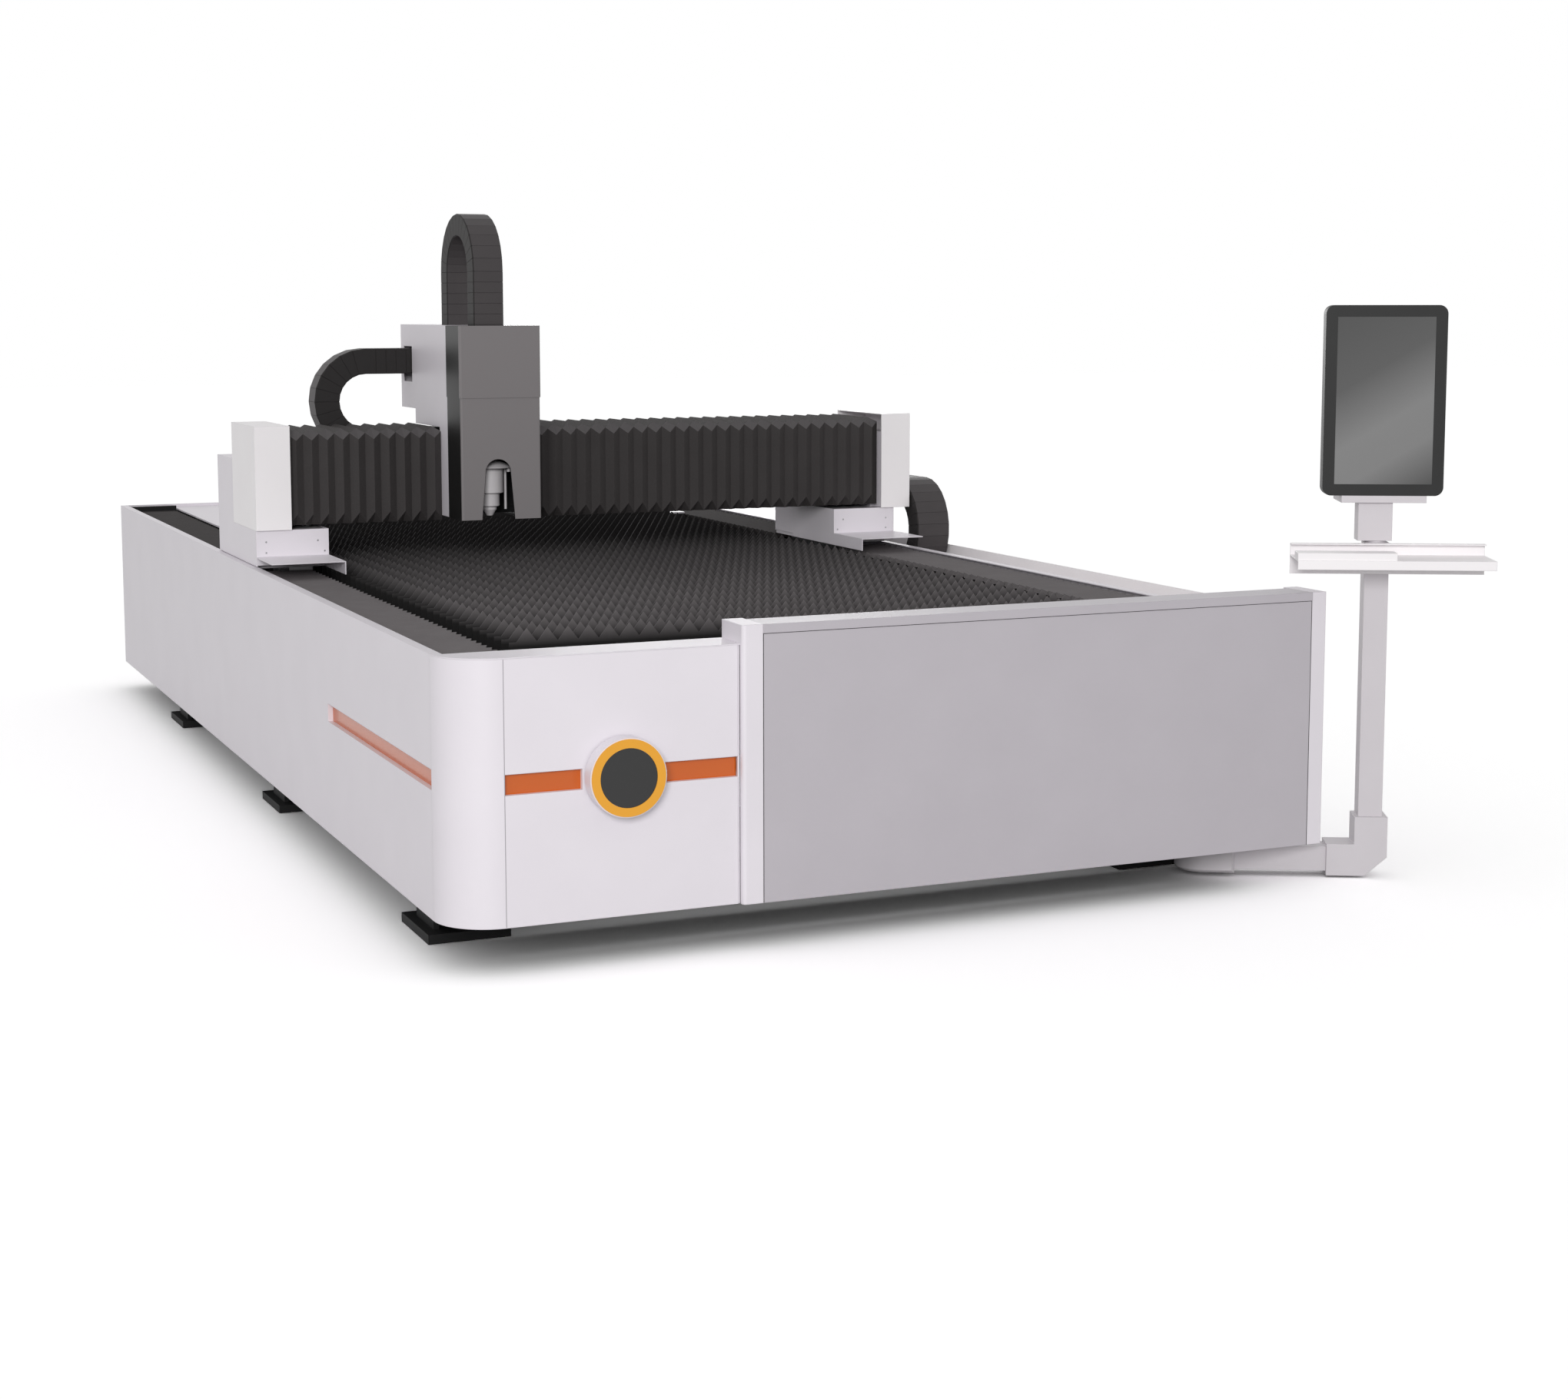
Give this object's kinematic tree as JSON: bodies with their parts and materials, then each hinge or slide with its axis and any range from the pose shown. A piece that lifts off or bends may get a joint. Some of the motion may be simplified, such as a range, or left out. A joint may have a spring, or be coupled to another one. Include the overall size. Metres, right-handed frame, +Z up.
{
  "type": "fiber laser cutting machine",
  "caption": "Flat bed laser cutter with a toothed slat bed, a travelling gantry under pleated covers, a lifting head and a swinging operator console.",
  "frame": {"origin": "middle of the underside of the front left foot, on the floor", "axes": "+Z up, +Y from the front of the bed to its rear, +X along the gantry towards the operator console"},
  "size_m": [2.6832, 4.8384, 1.7489],
  "materials": {
    "white_paint": "satin powder coat",
    "grey_paint": "satin powder coat",
    "black_paint": "matt paint",
    "frame_paint": "matt primer",
    "orange_paint": "satin paint",
    "emblem_paint": "satin plastic",
    "slat_steel": "dark mill steel",
    "bright_steel": "ground steel",
    "cast_aluminium": "machined",
    "bellows_fabric": "coated fabric",
    "chain_plastic": "matt plastic",
    "head_grey": "satin paint",
    "screen_glass": "smooth panel",
    "dark_plastic": "fine grain"
  },
  "bodies": {
    "bed": {"support_feet": "black_paint", "bed_frame": "frame_paint", "bed_rails": "bright_steel", "slat_blades": "slat_steel", "left_side_panel": "white_paint", "corner_panel": "white_paint", "front_left_panel": "white_paint", "stripe_strips": "orange_paint", "emblem_barrel": "white_paint", "emblem_face": "emblem_paint", "front_ledge": "white_paint", "front_posts": "white_paint", "front_grey_panel": "grey_paint", "right_side_panel": "white_paint", "rear_panel": "white_paint", "rear_decks": "white_paint", "rail_covers_front": "bellows_fabric", "rail_covers_rear": "bellows_fabric", "chain_trough": "white_paint", "trough_cover": "white_paint", "y_chain_lower_run": "chain_plastic", "console_pin": "white_paint"},
    "gantry": {"y_chain_upper_run": "chain_plastic", "y_chain_arm": "white_paint", "saddles": "white_paint", "y_bearing_blocks": "bright_steel", "saddle_covers": "white_paint", "motor_covers": "white_paint", "y_motors": "black_paint", "gantry_beam": "white_paint", "beam_rails": "bright_steel", "end_caps": "white_paint", "beam_bellows_left": "bellows_fabric", "beam_bellows_right": "bellows_fabric", "x_chain_tray": "white_paint", "x_chain_lower_run": "chain_plastic"},
    "y_chain_bend_body": {"y_chain_bend": "chain_plastic"},
    "y_pinion_left_body": {"y_pinion_left": "bright_steel"},
    "y_pinion_right_body": {"y_pinion_right": "bright_steel"},
    "carriage": {"x_chain_upper_run": "chain_plastic", "carriage_plate": "black_paint", "x_bearing_blocks": "bright_steel", "head_motors": "black_paint", "z_rails": "bright_steel", "lower_head_cover": "head_grey", "upper_head_cover": "head_grey", "head_sides": "white_paint", "head_rear_cover": "white_paint", "z_chain_loop": "chain_plastic"},
    "x_chain_bend_body": {"x_chain_bend": "chain_plastic"},
    "x_pinion_body": {"x_pinion": "bright_steel"},
    "head": {"head_slide": "cast_aluminium", "cutting_head": "cast_aluminium", "nozzle": "cast_aluminium"},
    "lift_screw_body": {"lift_screw": "bright_steel"},
    "console": {"console_arm": "white_paint", "keyboard_shelf": "white_paint"},
    "monitor": {"monitor_neck": "white_paint", "monitor_housing": "dark_plastic", "monitor_screen": "screen_glass"}
  },
  "joints": [
    {"name": "gantry_y", "type": "slide", "parent": "bed", "child": "gantry", "axis": [0, 1, 0], "range_m": [-1.53, 1.47], "deforming": ["rail_covers_front", "rail_covers_rear", "y_chain_lower_run", "y_chain_upper_run"]},
    {"name": "head_x", "type": "slide", "parent": "gantry", "child": "carriage", "axis": [1, 0, 0], "range_m": [-0.391, 1.112], "deforming": ["beam_bellows_left", "beam_bellows_right", "x_chain_lower_run", "x_chain_upper_run"]},
    {"name": "head_z", "type": "slide", "parent": "carriage", "child": "head", "axis": [0, 0, 1], "range_m": [-0.12, 0.03], "deforming": ["z_chain_loop"]},
    {"name": "y_chain_travel", "type": "slide", "parent": "bed", "child": "y_chain_bend_body", "axis": [0, 1, 0], "range_m": [-0.766, 0.736]},
    {"name": "y_pinion_left_turn", "type": "hinge", "parent": "gantry", "child": "y_pinion_left_body", "pos_m": [-0.0247, 2.15, 0.654], "axis": [0, 0, 1], "range_deg": [-3700, 3700]},
    {"name": "y_pinion_right_turn", "type": "hinge", "parent": "gantry", "child": "y_pinion_right_body", "pos_m": [1.8887, 2.15, 0.654], "axis": [0, 0, 1], "range_deg": [-3700, 3700]},
    {"name": "x_chain_travel", "type": "slide", "parent": "gantry", "child": "x_chain_bend_body", "axis": [1, 0, 0], "range_m": [-0.196, 0.557]},
    {"name": "x_pinion_turn", "type": "hinge", "parent": "carriage", "child": "x_pinion_body", "pos_m": [0.649, 1.8597, 1.072], "axis": [0, 0, 1], "range_deg": [-1150, 3200]},
    {"name": "lift_screw_turn", "type": "hinge", "parent": "carriage", "child": "lift_screw_body", "pos_m": [0.572, 1.668, 0.98], "axis": [0, 0, 1], "range_deg": [-1100, 4400]},
    {"name": "console_swivel", "type": "hinge", "parent": "bed", "child": "console", "pos_m": [1.96576, -0.20507, 0.045], "axis": [0, 0, 1], "range_deg": [-60, 40]},
    {"name": "monitor_swivel", "type": "hinge", "parent": "console", "child": "monitor", "pos_m": [2.32652, -0.42235, 0.873], "axis": [0, 0, 1], "range_deg": [-60, 60]}
  ],
  "couplings": [
    {"joint": "y_chain_travel", "follows": "gantry_y", "ratio": 0.5},
    {"joint": "y_pinion_left_turn", "follows": "gantry_y", "rad_per_m": 41.152},
    {"joint": "y_pinion_right_turn", "follows": "gantry_y", "rad_per_m": -41.152},
    {"joint": "x_chain_travel", "follows": "head_x", "ratio": 0.5},
    {"joint": "x_pinion_turn", "follows": "head_x", "rad_per_m": 49.261},
    {"joint": "lift_screw_turn", "follows": "head_z", "rad_per_m": -628.32}
  ]
}
